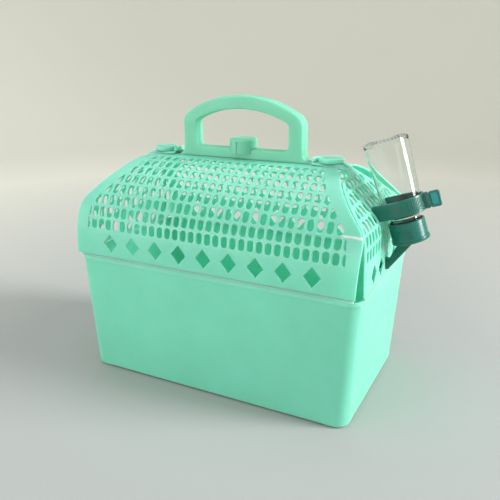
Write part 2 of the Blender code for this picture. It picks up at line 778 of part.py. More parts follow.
def make_spout(flap, hinge):
    """Wedge that carries water from the cap through the flap to a small cup inside."""
    frame = bottle_frame()
    under = frame @ Vector((SPOUT_ROOT[0], 0, -GAP))
    inner = frame @ Vector((SPOUT_ROOT[1], 0, -GAP))
    wall_x = END_FOOT_X + TUB_WALL
    sections = [spout_section(under.x, under.z, inner.x, inner.z, SPOUT_HALF)]
    for x in (wall_x, SPOUT_TIP_X):
        sections.append(spout_section(x, SPOUT_LOW, x, SPOUT_HIGH, SPOUT_HALF))
    spout = place("drinking_spout", loft(sections), teal(), hinge)
    inner_half = SPOUT_HALF - CUP_WALL
    pocket_low = (SPOUT_TIP_X + CUP_WALL, BOTTLE_Y - inner_half, SPOUT_LOW + CUP_WALL)
    pocket_high = (END_FOOT_X - 2 * CUP_WALL, BOTTLE_Y + inner_half, SPOUT_HIGH + CUT_PAST)
    cut(spout, box(pocket_low, pocket_high))
    half = SPOUT_HALF + SLOT_PLAY
    slot_low = (END_FOOT_X - CUT_PAST, BOTTLE_Y - half, SPOUT_LOW - SLOT_PLAY)
    slot_high = (END_FOOT_X + CUT_PAST, BOTTLE_Y + half, SPOUT_SLOT_HIGH)
    cut(flap, box(slot_low, slot_high))


# ---------------------------------------------------------------- the whole carrier


def build():
    for obj in list(bpy.data.objects):
        bpy.data.objects.remove(obj, do_unlink=True)
    make_tub()
    make_hinge_webs()
    for name, side in (("front", -1), ("rear", 1)):
        hinge = pivot(name + "_hinge_axis", (0, side * (FACE_Y - HINGE_THICKNESS / 2), HINGE_Z))
        make_long_flap(name + "_flap", side, hinge)
        make_handle_half(name + "_handle_half", side, hinge)
        make_clip_stud(name + "_clip_stud", side, hinge)
        for end, x in (("left", -BUTTON_X), ("right", BUTTON_X)):
            stud = f"{name}_{end}_half_stud"
            make_half_stud(stud, side, x, RIDGE_Z + GAP, STUD_TOP, hinge)
    make_centre_clip(pivot("centre_clip_axis", (0, 0, BAR_TOP)))
    for name, side in (("left", -1), ("right", 1)):
        hinge = pivot(name + "_hinge_axis", (side * (END_FOOT_X - HINGE_THICKNESS / 2), 0, HINGE_Z))
        flap = make_end_flap(name + "_end_flap", side, hinge)
        root_z = STRAP_ROOT_Z + GAP / 2
        root_x = x_on_line(end_line(0.0), root_z)
        root = pivot(name + "_strap_axis", (side * root_x, 0, root_z))
        make_strap(name + "_strap", side, root)
        make_snap_cap(name + "_snap_cap", side, root)
    frame = bottle_frame()
    make_bottle(pivot("bottle_axis", frame.translation))
    make_screw_cap(hinge)
    make_bracket(flap, hinge)
    make_spout(flap, hinge)
    clasp_foot = frame @ Vector((clasp_centre(), 0, BAND_LOW))
    make_clasp(pivot("clasp_axis", clasp_foot))


build()
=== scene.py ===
"""Looks of the small-animal carrier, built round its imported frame. Metres, +Z up.

The four flaps get their lattice of slots, and every moulded piece gets rounded edges, its
fine relief and a procedural plastic. Places come from the frame and its record.
"""

import json
import math

import bmesh
import bpy
import numpy as np
from mathutils import Matrix, Vector
from mathutils.geometry import delaunay_2d_cdt


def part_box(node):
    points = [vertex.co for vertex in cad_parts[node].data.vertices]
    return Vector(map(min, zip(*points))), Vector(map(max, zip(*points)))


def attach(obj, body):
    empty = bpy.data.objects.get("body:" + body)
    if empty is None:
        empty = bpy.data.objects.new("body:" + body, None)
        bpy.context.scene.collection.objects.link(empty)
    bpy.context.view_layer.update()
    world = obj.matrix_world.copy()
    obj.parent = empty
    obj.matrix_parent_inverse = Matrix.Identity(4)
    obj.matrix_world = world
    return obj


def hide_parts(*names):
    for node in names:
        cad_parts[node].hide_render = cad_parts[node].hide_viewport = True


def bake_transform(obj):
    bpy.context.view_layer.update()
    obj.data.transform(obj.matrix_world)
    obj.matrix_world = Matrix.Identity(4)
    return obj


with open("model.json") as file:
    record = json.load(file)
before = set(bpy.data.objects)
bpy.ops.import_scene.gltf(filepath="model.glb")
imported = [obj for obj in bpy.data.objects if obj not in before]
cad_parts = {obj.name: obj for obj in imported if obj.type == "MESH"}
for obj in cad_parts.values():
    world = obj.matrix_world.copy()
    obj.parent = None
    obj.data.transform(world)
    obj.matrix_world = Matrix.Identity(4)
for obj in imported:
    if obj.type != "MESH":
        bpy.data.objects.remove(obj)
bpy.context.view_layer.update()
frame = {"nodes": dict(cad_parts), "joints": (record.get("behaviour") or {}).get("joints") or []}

# Edges and gaps of the mouldings
GAP = 0.0003
SHEET = 0.0018
EDGE_GAP = 0.0006
MARGIN_INSET = 0.0002
SHEET_EDGE = 0.00045
SEAM = 0.00015

# Vault of the long flaps and profile of the end flaps
FLAP_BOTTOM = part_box("front_flap")[0].z
FACE_Y = -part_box("front_flap")[0].y
RIDGE_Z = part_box("front_flap")[1].z
VAULT_RADIUS = 0.0834
VAULT_SPRING_Z = RIDGE_Z - VAULT_RADIUS
VAULT_CENTRE_Y = FACE_Y - VAULT_RADIUS
END_FOOT_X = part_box("right_end_flap")[1].x
END_FOOT_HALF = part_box("right_end_flap")[1].y
END_KNEE = (0.1575, 0.1910)
END_CREST = (0.1111, 0.2389)
KNEE_RADIUS = 0.028
CREST_RADIUS = 0.016
STRAP_ROOT_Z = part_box("right_end_flap")[1].z
STRAP_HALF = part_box("right_strap")[1].y
STRAP_TIP_X = 0.0800
STRAP_THICKNESS = 0.0020
SNAP_X = 0.0970
SNAP_BORE = 0.0095
SLANT_Z = 0.1880
NECK_LOW = 0.2284
NECK_HIGH = 0.2300

# Lattice of slots and row of diamonds
SLOT_WIDTH = 0.0064
SLOT_HEIGHT = 0.0109
SLOT_RADIUS = 0.0029
SLOT_PITCH = 0.009276
ROW_PITCH = 0.01344
FIRST_ROW = 0.0355
LAST_ROW = 0.1375
SMALLEST_SLOT = (0.0014, 0.3 * SLOT_HEIGHT)
LATTICE_MARGIN = 0.0150
END_MARGIN = 0.0060
DIAMOND_WIDTH = 0.0175
DIAMOND_HEIGHT = 0.0200
DIAMOND_Z = 0.1505
DIAMOND_PITCH = 0.0284
LONG_DIAMONDS = 9
END_DIAMOND_Z = 0.1475
END_DIAMOND_PITCH = 0.0240
END_DIAMONDS = 5
DIAMOND_CORNER = 0.0006

# Places on the right end flap that stay whole under the bottle's band, or open for its spout
BAND_Z = (0.184, 0.202)
ARM_ROOM = 0.006
SPOUT_SLOT_Z = 0.1466
SPOUT_SLOT_HALF = 0.0074
SPOUT_ROOM = 0.0008

# Crease on the front flap's right margin: the margin bent in below it, and a pale line along it
# that is partly stress whitening and partly painted highlight
CREASE_Z = 0.1900
CREASE_X = (0.1355, 0.1400)
BENT_HIGH = 0.1900
BENT_LOW = 0.1310
BENT_IN = 0.0062
# Colour of the pale crease line: partly stress whitening, partly painted highlight
CREASE_WHITENING_AND_HIGHLIGHT = (0.86, 0.97, 0.92, 1.0)

# Handle
BAR_TOP = 0.2470
HANDLE_HALF = 0.0690
OPENING_HALF = 0.0536
GRIP = 0.0135
HANDLE_SHOULDER = 0.0140
HANDLE_CROWN = 0.1180
OPENING_CORNER = 0.0055
OPENING_CROWN = 0.1150

# Camera, in metres, degrees and millimetres of lens
CAMERA_PLACE = (0.2875, -0.5500, 0.3389)
CAMERA_TURN = (71.91, 0.26, 26.94)
CAMERA_LENS = 42.39
CAMERA_SHIFT = -0.004

# Colour sockets of a mix node
MIX_FIRST, MIX_SECOND, MIX_RESULT = 6, 7, 2


# ---------------------------------------------------------------- procedural materials


class Nodes:
    """Short way to add and wire shader nodes."""

    def __init__(self, name):
        self.material = bpy.data.materials.new(name)
        self.material.use_nodes = True
        self.tree = self.material.node_tree
        self.shader = self.tree.nodes["Principled BSDF"]
        self.place = self.add("ShaderNodeTexCoord").outputs["Object"]

    def add(self, kind, **values):
        node = self.tree.nodes.new(kind)
        for key, value in values.items():
            setattr(node, key, value)
        return node

    def link(self, output, socket):
        self.tree.links.new(output, socket)

    def noise(self, scale, detail=2.0, stretch=(1, 1, 1), roughness=0.5):
        mapping = self.add("ShaderNodeMapping")
        mapping.inputs["Scale"].default_value = stretch
        self.link(self.place, mapping.inputs["Vector"])
        node = self.add("ShaderNodeTexNoise")
        node.inputs["Scale"].default_value = scale
        node.inputs["Detail"].default_value = detail
        node.inputs["Roughness"].default_value = roughness
        self.link(mapping.outputs["Vector"], node.inputs["Vector"])
        return node.outputs["Fac"]

    def spread(self, value, low, high, to_low, to_high):
        node = self.add("ShaderNodeMapRange")
        settings = (("From Min", low), ("From Max", high), ("To Min", to_low), ("To Max", to_high))
        for socket, number in settings:
            node.inputs[socket].default_value = number
        self.link(value, node.inputs["Value"])
        return node.outputs["Result"]

    def compute(self, operation, first, second=0.0):
        node = self.add("ShaderNodeMath", operation=operation)
        for socket, value in zip(node.inputs, (first, second)):
            if isinstance(value, float):
                socket.default_value = value
            else:
                self.link(value, socket)
        return node.outputs["Value"]

    def mix(self, share, first, second):
        node = self.add("ShaderNodeMix", data_type="RGBA")
        self.link(share, node.inputs["Factor"])
        for socket, colour in ((node.inputs[MIX_FIRST], first), (node.inputs[MIX_SECOND], second)):
            if isinstance(colour, tuple):
                socket.default_value = colour
            else:
                self.link(colour, socket)
        return node.outputs[MIX_RESULT]

    def bump(self, height, strength, distance, normal=None):
        node = self.add("ShaderNodeBump")
        node.inputs["Strength"].default_value = strength
        node.inputs["Distance"].default_value = distance
        self.link(height, node.inputs["Height"])
        if normal:
            self.link(normal, node.inputs["Normal"])
        return node.outputs["Normal"]

    def worn_and_highlit_edges(self, colour, pale, amount):
        """Paler along the convex edges, partly wear where handling has rubbed the plastic and
        partly a painted highlight where the edges catch the light.
        """
        edge = self.add("ShaderNodeNewGeometry").outputs["Pointiness"]
        return self.mix(self.spread(edge, 0.51, 0.62, 0.0, amount), colour, pale)


def tint(colour, factor):
    """A colour made lighter or darker by the factor, with full alpha."""
    return tuple(min(1.0, c * factor) for c in colour[:3]) + (1.0,)


def crease_whitening_and_highlight_mask(nodes):
    """Where the front flap's margin has been bent: a wavering pale line that fades inwards, partly
    stress whitening and partly a painted highlight along the fold.
    """
    parts = nodes.add("ShaderNodeSeparateXYZ")
    nodes.link(nodes.place, parts.inputs["Vector"])
    waver = nodes.spread(nodes.noise(70.0, 2.0), 0.3, 0.7, -0.0007, 0.0007)
    height = nodes.compute("ADD", nodes.compute("ADD", parts.outputs["Z"], waver), -CREASE_Z)
    line = nodes.spread(nodes.compute("ABSOLUTE", height), 0.0002, 0.0013, 0.9, 0.0)
    along = nodes.spread(parts.outputs["X"], *CREASE_X, 0.0, 1.0)
    return nodes.compute("MULTIPLY", line, along)


def moulded_plastic(name, colour, gloss, pale, thin=0.0, creased=False):
    """Injection-moulded plastic: cloudy pigment, satin mould grain, scuffs, and edges made paler,
    partly for wear and partly as a painted highlight.
    """
    nodes = Nodes(name)
    cloud = nodes.noise(22.0, 3.0)
    base = nodes.mix(nodes.spread(cloud, 0.3, 0.7, 0, 1), tint(colour, 0.965), tint(colour, 1.035))
    # edges paler by pointiness: partly wear, partly painted highlight
    base = nodes.worn_and_highlit_edges(base, pale, 0.35)
    if creased:
        # pale crease line: partly stress whitening, partly painted highlight
        base = nodes.mix(crease_whitening_and_highlight_mask(nodes), base, CREASE_WHITENING_AND_HIGHLIGHT)
    nodes.link(base, nodes.shader.inputs["Base Color"])
    scuff = nodes.noise(45.0, 4.0, (1.0, 1.0, 2.0), 0.6)
    roughness = nodes.spread(scuff, 0.3, 0.75, gloss - 0.03, gloss + 0.07)
    nodes.link(roughness, nodes.shader.inputs["Roughness"])
    sag = nodes.bump(nodes.noise(11.0, 1.0), 0.25, 0.0016)
    grain = nodes.bump(nodes.noise(2600.0, 1.0), 0.05, 0.0001, sag)
    nodes.link(grain, nodes.shader.inputs["Normal"])
    nodes.shader.inputs["IOR"].default_value = 1.49
    if thin:
        nodes.shader.inputs["Subsurface Weight"].default_value = thin
        nodes.shader.inputs["Subsurface Radius"].default_value = (0.5, 1.0, 0.75)
        nodes.shader.inputs["Subsurface Scale"].default_value = 0.012
    return nodes.material


def clear_plastic():
    """Clear bottle plastic with faint flow marks."""
    nodes = Nodes("clear_plastic_look")
    shader = nodes.shader
    shader.inputs["Base Color"].default_value = (0.97, 0.99, 0.985, 1.0)
    shader.inputs["Transmission Weight"].default_value = 1.0
    shader.inputs["IOR"].default_value = 1.46
    haze = nodes.noise(90.0, 3.0, (1.0, 1.0, 0.2))
    nodes.link(nodes.spread(haze, 0.35, 0.8, 0.015, 0.07), shader.inputs["Roughness"])
    flow = nodes.noise(45.0, 1.0, (1.0, 1.0, 0.3))
    nodes.link(nodes.bump(flow, 0.12, 0.0008), shader.inputs["Normal"])
    return nodes.material


def washer_rubber():
    """Matt grey rubber with a fine grain."""
    nodes = Nodes("washer_rubber_look")
    cloud = nodes.spread(nodes.noise(300.0, 3.0), 0.3, 0.7, 0, 1)
    base = nodes.mix(cloud, (0.60, 0.60, 0.57, 1.0), (0.70, 0.70, 0.66, 1.0))
    nodes.link(base, nodes.shader.inputs["Base Color"])
    nodes.shader.inputs["Roughness"].default_value = 0.8
    nodes.link(nodes.bump(nodes.noise(1500.0), 0.2, 0.0001), nodes.shader.inputs["Normal"])
    return nodes.material


# Colour, roughness, colour of the paler edges (partly wear, partly painted highlight), and how far
# light goes into the plastic
THIN_MINT = ((0.190, 0.68, 0.465), 0.36, (0.36, 0.80, 0.60, 1.0), 0.80)
THICK_MINT = ((0.158, 0.565, 0.388), 0.34, (0.32, 0.72, 0.54, 1.0), 0.60)
DARK_TEAL = ((0.010, 0.135, 0.105), 0.24, (0.06, 0.30, 0.26, 1.0))
BRIGHT_TEAL = ((0.012, 0.30, 0.31), 0.22, (0.08, 0.45, 0.45, 1.0))

MINT = moulded_plastic("mint_look", *THIN_MINT)
CREASED = moulded_plastic("creased_mint_look", *THIN_MINT, creased=True)
THICK = moulded_plastic("thick_mint_look", *THICK_MINT)
TEAL = moulded_plastic("teal_look", *DARK_TEAL)
BRIGHT = moulded_plastic("bright_teal_look", *BRIGHT_TEAL)
CLEAR = clear_plastic()
RUBBER = washer_rubber()


# ---------------------------------------------------------------- meshes


def add_object(name, data):
    obj = bpy.data.objects.new(name, data)
    bpy.context.scene.collection.objects.link(obj)
    return obj


def piece(name, bm, material, body, nodes=(), sharp=50):
    """Finished piece from a bmesh drawn in the frame's coordinates, riding on its body."""
    bmesh.ops.recalc_face_normals(bm, faces=bm.faces)
    mesh = bpy.data.meshes.new(name)
    bm.to_mesh(mesh)
    bm.free()
    mesh.materials.append(material)
    mesh.shade_smooth()
    mesh.set_sharp_from_angle(angle=math.radians(sharp))
    obj = add_object(name, mesh)
    weighted = obj.modifiers.new("even_shading", "WEIGHTED_NORMAL")
    weighted.keep_sharp = True
    if body:
        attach(obj, body)
    if nodes:
        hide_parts(*nodes)
    return obj


def carve(bm, *cutters):
    """The bmesh with the closed cutters taken out of it."""
    made = []
    for i, shape in enumerate((bm, *cutters)):
        bmesh.ops.recalc_face_normals(shape, faces=shape.faces)
        mesh = bpy.data.meshes.new(f"carving_{i}")
        shape.to_mesh(mesh)
        shape.free()
        made.append(add_object(mesh.name, mesh))
    for cutter in made[1:]:
        modifier = made[0].modifiers.new("cut", "BOOLEAN")
        modifier.object = cutter
    graph = bpy.context.evaluated_depsgraph_get()
    result = bmesh.new()
    result.from_object(made[0], graph)
    for obj in made:
        mesh = obj.data
        bpy.data.objects.remove(obj)
        bpy.data.meshes.remove(mesh)
    return result


def quads(bm, rows):
    """Faces between neighbouring closed rows of vertices."""
    for low, high in zip(rows, rows[1:]):
        count = len(low)
        for i in range(count):
            j = (i + 1) % count
            bm.faces.new((low[i], low[j], high[j], high[i]))


def close_ends(bm, rows):
    """Flat faces over the first and the last row."""
    bm.faces.new(rows[0])
    bm.faces.new(rows[-1])


def loft(rings):
    """Solid through rings of equal length."""
    bm = bmesh.new()
    rows = [[bm.verts.new(point) for point in ring] for ring in rings]
    quads(bm, rows)
    close_ends(bm, rows)
    return bm


def box(low, high):
    """Solid box between two corners."""
    corners = [(low[0], low[1]), (high[0], low[1]), (high[0], high[1]), (low[0], high[1])]
    return loft([[(x, y, z) for x, y in corners] for z in (low[2], high[2])])


def post(half_x, half_y, radius, steps, middle, levels):
    """Upright rounded bar through (z, inset) levels."""
    rings = []
    for z, inset in levels:
        ring = rounded_box(half_x - inset, half_y - inset, radius - inset, steps, middle)
        rings.append([(x, y, z) for x, y in ring])
    return loft(rings)


def merge(target, other):
    """Add one bmesh's geometry to another."""
    mesh = bpy.data.meshes.new("merging")
    other.to_mesh(mesh)
    other.free()
    target.from_mesh(mesh)
    bpy.data.meshes.remove(mesh)
    return target


def arc(centre, radius, start, sweep, steps):
    """Points of an arc, both ends included; angles in radians."""
    angles = [start + sweep * i / steps for i in range(steps + 1)]
    return [(centre[0] + radius * math.cos(a), centre[1] + radius * math.sin(a)) for a in angles]


def circle(radius, steps, centre=(0.0, 0.0)):
    """Anticlockwise outline of a circle."""
    return arc(centre, radius, 0.0, math.tau, steps)[:-1]


def mirrored(right):
    """Closed outline from its right half, whose last point lies on the middle line."""
    return right + [(-x, z) for x, z in reversed(right[:-1])]


def rounded_box(half_u, half_v, radius, steps, centre=(0.0, 0.0)):
    """Anticlockwise outline of a rounded rectangle."""
    ring = []
    for quarter, (su, sv) in enumerate(((1, 1), (-1, 1), (-1, -1), (1, -1))):
        middle = (centre[0] + su * (half_u - radius), centre[1] + sv * (half_v - radius))
        ring += arc(middle, radius, quarter * math.pi / 2, math.pi / 2, steps)
    return ring


def offset_ring(ring, distance):
    """A ring moved outwards by the distance, which may be negative."""
    points = np.array(ring, float)
    ahead = np.roll(points, -1, 0) - points
    ahead /= np.linalg.norm(ahead, axis=1)[:, None]
    normal = np.column_stack([ahead[:, 1], -ahead[:, 0]])
    before = np.roll(normal, 1, 0)
    middle = normal + before
    middle /= np.linalg.norm(middle, axis=1)[:, None]
    stretch = 1.0 / np.maximum((middle * normal).sum(1), 0.5)
    return [tuple(p) for p in points + middle * (distance * stretch)[:, None]]


def quarter(radius, steps):
    """(along, inset) pairs of a rounded edge, from full inset to none."""
    turns = [math.pi / 2 * i / steps for i in range(steps + 1)]
    return [(radius * (1 - math.cos(a)), radius * (1 - math.sin(a))) for a in turns]


def edge_profile(thickness, top, low, steps=2):
    """(depth, inset) pairs down the side of a sheet with rounded edges."""
    lower = [(thickness - depth, inset) for depth, inset in quarter(low, steps)]
    return quarter(top, steps) + lower[::-1]


def inside(points, ring):
    """Which points lie inside a ring."""
    ring = np.array(ring)
    found = np.zeros(len(points), bool)
    for (x1, y1), (x2, y2) in zip(ring, np.roll(ring, -1, 0)):
        crosses = (y1 > points[:, 1]) != (y2 > points[:, 1])
        with np.errstate(divide="ignore", invalid="ignore"):
            at = x1 + (points[:, 1] - y1) * (x2 - x1) / (y2 - y1)
        found ^= crosses & (points[:, 0] < at)
    return found


def filling_points(outline, holes, spacing):
    """Grid points inside the outline and clear of the holes, so that a sheet can bend."""
    low = np.min(outline, 0)
    high = np.max(outline, 0)
    u, v = (np.arange(low[k] + spacing / 2, high[k], spacing) for k in (0, 1))
    grid = np.array([(a, b) for b in v for a in u]).reshape(-1, 2)
    grid = grid[inside(grid, offset_ring(outline, -spacing * 0.35))]
    for hole in holes:
        near = np.min(hole, 0) - spacing * 0.25
        far = np.max(hole, 0) + spacing * 0.25
        grid = grid[~((grid > near) & (grid < far)).all(1)]
    return [tuple(p) for p in grid]


def fill(bm, rows, rings, extra, place, depth):
    """Triangulate one face of a sheet between its outline and its holes."""
    verts = [v for row in rows for v in row] + [bm.verts.new(place(u, v, depth)) for u, v in extra]
    points = [p for ring in rings for p in ring] + list(extra)
    owner = [k for k, ring in enumerate(rings) for _ in ring] + [-1] * len(extra)
    edges = []
    start = 0
    for ring in rings:
        count = len(ring)
        edges += [(start + i, start + (i + 1) % count) for i in range(count)]
        start += count
    made = delaunay_2d_cdt([Vector(p) for p in points], edges, [], 0, 1e-9)
    found = [origin[0] for origin in made[3]]
    triangles = [tuple(found[i] for i in face) for face in made[2]]
    centres = np.array([np.mean([points[i] for i in t], 0) for t in triangles])
    for triangle, kept in zip(triangles, inside(centres, rings[0])):
        owners = {owner[i] for i in triangle}
        if kept and not (len(owners) == 1 and owners.pop() > 0):
            bm.faces.new([verts[i] for i in triangle])


def panel(outline, holes, place, thickness, top=SHEET_EDGE, low=SHEET_EDGE, spacing=0.006, steps=2):
    """Sheet with its outer and inner edges rounded by top and low.

    Place maps (u, v, depth) to the frame's coordinates.
    """
    bm = bmesh.new()
    profile = edge_profile(thickness, top, low, steps)
    rings = [outline] + holes
    signs = [-1] + [1] * len(holes)
    shifted = []
    for ring, sign in zip(rings, signs):
        shifted.append([offset_ring(ring, sign * inset) for _, inset in profile])
    walls = []
    for levels in shifted:
        rows = []
        for (depth, _), ring in zip(profile, levels):
            rows.append([bm.verts.new(place(u, v, depth)) for u, v in ring])
        quads(bm, rows)
        walls.append(rows)
    extra = filling_points(outline, holes, spacing)
    for end in (0, -1):
        flat = [levels[end] for levels in shifted]
        fill(bm, [rows[end] for rows in walls], flat, extra, place, profile[end][0])
    return bm


# ---------------------------------------------------------------- profiles of the lid


class Path:
    """Dense 2-D line with distance along it; depth goes to its inner side."""

    def __init__(self, points):
        self.points = np.array(points, float)
        steps = np.linalg.norm(np.diff(self.points, axis=0), axis=1)
        self.length = np.concatenate([[0.0], np.cumsum(steps)])
        ahead = np.gradient(self.points, axis=0)
        ahead /= np.linalg.norm(ahead, axis=1)[:, None]
        self.inward = np.column_stack([-ahead[:, 1], ahead[:, 0]])

    def at(self, distance, depth=0.0):
        point = [np.interp(distance, self.length, self.points[:, k]) for k in (0, 1)]
        inward = [np.interp(distance, self.length, self.inward[:, k]) for k in (0, 1)]
        return point[0] + inward[0] * depth, point[1] + inward[1] * depth

    def width_at(self, z, inset=0.0):
        moved = self.points + self.inward * inset
        return float(np.interp(z, moved[:, 1], moved[:, 0]))

    def distance_at(self, z):
        return float(np.interp(z, self.points[:, 1], self.length))


def fillet(before, corner, after, radius, steps=24):
    """Arc that rounds a corner of a 2-D line."""
    corner = Vector(corner)
    back = (Vector(before) - corner).normalized()
    ahead = (Vector(after) - corner).normalized()
    half = back.angle(ahead) / 2
    centre = corner + (back + ahead).normalized() * (radius / math.sin(half))
    start = corner + back * (radius / math.tan(half)) - centre
    turn = -start.angle_signed(corner + ahead * (radius / math.tan(half)) - centre)
    return [tuple(centre + Matrix.Rotation(turn * i / steps, 2) @ start) for i in range(steps + 1)]


def even_line(start, end, step=0.001):
    """Points from start up to, but without, end."""
    start, end = Vector(start), Vector(end)
    count = max(1, round((end - start).length / step))
    return [tuple(start.lerp(end, i / count)) for i in range(count)]


def vault_path():
    """(distance from the middle plane, z) from the rim over the vault to the ridge."""
    points = even_line((FACE_Y, FLAP_BOTTOM), (FACE_Y, VAULT_SPRING_Z))
    points += arc((VAULT_CENTRE_Y, VAULT_SPRING_Z), VAULT_RADIUS, 0.0, math.pi / 2, 120)
    ridge = (SEAM, RIDGE_Z)
    return Path(points[:-1] + even_line((VAULT_CENTRE_Y, RIDGE_Z), ridge) + [ridge])


def end_path():
    """(distance from the middle, z) from the rim up the end flap to the strap's tip."""
    foot = (END_FOOT_X, FLAP_BOTTOM)
    tip = (STRAP_TIP_X, END_CREST[1])
    knee = fillet(foot, END_KNEE, END_CREST, KNEE_RADIUS)
    crest = fillet(END_KNEE, END_CREST, tip, CREST_RADIUS)
    points = even_line(foot, knee[0]) + knee[:-1] + even_line(knee[-1], crest[0])
    return Path(points + crest[:-1] + even_line(crest[-1], tip) + [tip])


VAULT = vault_path()
END = end_path()


def ramp(value, start, end):
    """0 up to start and 1 from end on, even between them."""
    return min(1.0, max(0.0, (value - start) / (end - start)))


def long_halves(distance):
    """Half lengths, left and right, of a long flap; under the straps it is cut back further."""
    z = VAULT.at(distance)[1]
    under = ramp(z, STRAP_ROOT_Z + 0.0012, STRAP_ROOT_Z + 0.0022)
    half = END.width_at(z, MARGIN_INSET + (SHEET + EDGE_GAP - MARGIN_INSET) * under)
    return half, half


def front_halves(distance):
    """The front flap's right margin has been bent in below its crease."""
    left, right = long_halves(distance)
    bent = ramp(VAULT.at(distance)[1], BENT_HIGH, BENT_LOW)
    return left, right - BENT_IN * bent


def end_halves(distance):
    """Half widths of an end flap: its edge along the vault, and its straight slanted edge."""
    z = END.at(distance)[1]
    share = max(0.0, z - SLANT_Z) / (STRAP_ROOT_Z - SLANT_Z)
    slanted = END_FOOT_HALF + share * (STRAP_HALF - END_FOOT_HALF)
    curved = STRAP_HALF + ramp(z, NECK_HIGH, NECK_LOW) * (END_FOOT_HALF - STRAP_HALF)
    radius = VAULT_RADIUS - SHEET
    rise = min(max(z - VAULT_SPRING_Z, 0.0), radius)
    vault = VAULT_CENTRE_Y + math.sqrt(radius**2 - rise**2) - EDGE_GAP
    return min(curved, vault), min(slanted, vault)


def flap_outline(halves, top, extra=(), step=0.003):
    """Anticlockwise outline of a flap, from its rim to its top, with extra heights in it."""
    count = round(top / step)
    heights = sorted([top * i / count for i in range(count + 1)] + list(extra))
    following = heights[1:] + [math.inf]
    heights = [v for v, after in zip(heights, following) if after - v > 4e-4]
    return [(halves(v)[1], v) for v in heights] + [(-halves(v)[0], v) for v in reversed(heights)]


def clipped(ring, halves, margin):
    """A slot cut back to the lattice's limit, or None where too little of it is left."""
    for side, which in ((-1, 0), (1, 1)):
        room = [halves(v)[which] - margin - side * u for u, v in ring]
        kept = []
        for i, (u, v) in enumerate(ring):
            before, here = room[i - 1], room[i]
            if (before > 0) != (here > 0):
                share = before / (before - here)
                kept.append(tuple(a + (b - a) * share for a, b in zip(ring[i - 1], (u, v))))
            if here > 0:
                kept.append((u, v))
        ring = [p for i, p in enumerate(kept) if math.dist(p, kept[i - 1]) > 2e-4]
        if len(ring) < 4:
            return None
    width, height = (max(p[k] for p in ring) - min(p[k] for p in ring) for k in (0, 1))
    return ring if width > SMALLEST_SLOT[0] and height > SMALLEST_SLOT[1] else None


def lattice(halves, margin, last, blocked=None):
    """Slots of a flap's lattice, as rings in (u, v), none of them past last."""
    holes = []
    rows = int((last - FIRST_ROW) / ROW_PITCH) + 1
    columns = int(END_FOOT_X / SLOT_PITCH) + 1
    for row in range(rows):
        for column in range(-columns, columns):
            centre = ((column + 0.5) * SLOT_PITCH, FIRST_ROW + row * ROW_PITCH)
            if blocked and blocked(*centre):
                continue
            ring = rounded_box(SLOT_WIDTH / 2, SLOT_HEIGHT / 2, SLOT_RADIUS, 3, centre)
            found = clipped([(u, min(v, last)) for u, v in ring], halves, margin)
            if found:
                holes.append(found)
    return holes


def diamonds(count, pitch, z, skip=None):
    """Rings of the diamonds in a flap's upright strip, with softened corners."""
    rings = []
    v = z - FLAP_BOTTOM
    for i in range(count):
        if i == skip:
            continue
        u = (i - (count - 1) / 2) * pitch
        corners = [(u, v - DIAMOND_HEIGHT / 2), (u + DIAMOND_WIDTH / 2, v)]
        corners += [(u, v + DIAMOND_HEIGHT / 2), (u - DIAMOND_WIDTH / 2, v)]
        ring = []
        for k, corner in enumerate(corners):
            ring += fillet(corners[k - 1], corner, corners[(k + 1) % 4], DIAMOND_CORNER, 3)
        rings.append(ring)
    return rings


# ---------------------------------------------------------------- tub and hinges


def tub_ring(length, depth, radius, z):
    """Level ring of the tub, centred on the origin."""
    return [(x, y, z) for x, y in rounded_box(length / 2, depth / 2, radius, 10)]


def make_tub():
    """Tapered open tub with a rim band, a round lower edge and recesses between its feet."""
    low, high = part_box("tub")
    rim_length, rim_depth, top = high.x - low.x, high.y - low.y, high.z
    base_length, base_depth = 0.302, 0.172
    wall, corner, edge = 0.002, 0.013, 0.0035
    band, proud = 0.004, 0.0007

    def wall_ring(z, inset, radius):
        share = z / top
        length = base_length + (rim_length - 2 * proud - base_length) * share - 2 * inset
        depth = base_depth + (rim_depth - 2 * proud - base_depth) * share - 2 * inset
        return tub_ring(length, depth, radius, z)

    foot_round = quarter(edge, 4)
    rings = [wall_ring(rise, inset, corner - inset) for rise, inset in foot_round]
    for share in (0.25, 0.5, 0.75):
        rings.append(wall_ring((top - band) * share, 0.0, corner))
    under = top - band
    rings.append(wall_ring(under - 0.0007, 0.0, corner))
    for z, inset in ((under - 0.0003, 0.0003), (under, 0.0), (top - 0.0002, 0.0), (top, 0.0002)):
        rings.append(tub_ring(rim_length - 2 * inset, rim_depth - 2 * inset, corner, z))
    for z, inset in ((top, 0.0021), (top - 0.0004, 0.0025), (top - 0.0016, 0.0025)):
        rings.append(tub_ring(rim_length - 2 * inset, rim_depth - 2 * inset, corner - wall, z))
    for share in (0.75, 0.5, 0.25):
        rings.append(wall_ring((top - band) * share, wall, corner - wall))
    for rise, inset in reversed(foot_round):
        rings.append(wall_ring(wall + rise, wall + inset, corner - wall - inset))
    tub = loft(rings)
    foot, reach, recess = 0.022, 0.0052, 0.0015
    cutters = []
    for side in (-1, 1):
        x = base_length / 2 - foot
        y = sorted((side * (base_depth / 2 - reach), side * (base_depth / 2 + reach)))
        cutters.append(box((-x, y[0], -recess), (x, y[1], recess)))
        y = base_depth / 2 - foot
        x = sorted((side * (base_length / 2 - reach), side * (base_length / 2 + reach)))
        cutters.append(box((x[0], -y, -recess), (x[1], y, recess)))
    piece("carrier_tub", carve(tub, *cutters), MINT, "tub", ["tub"], 35)


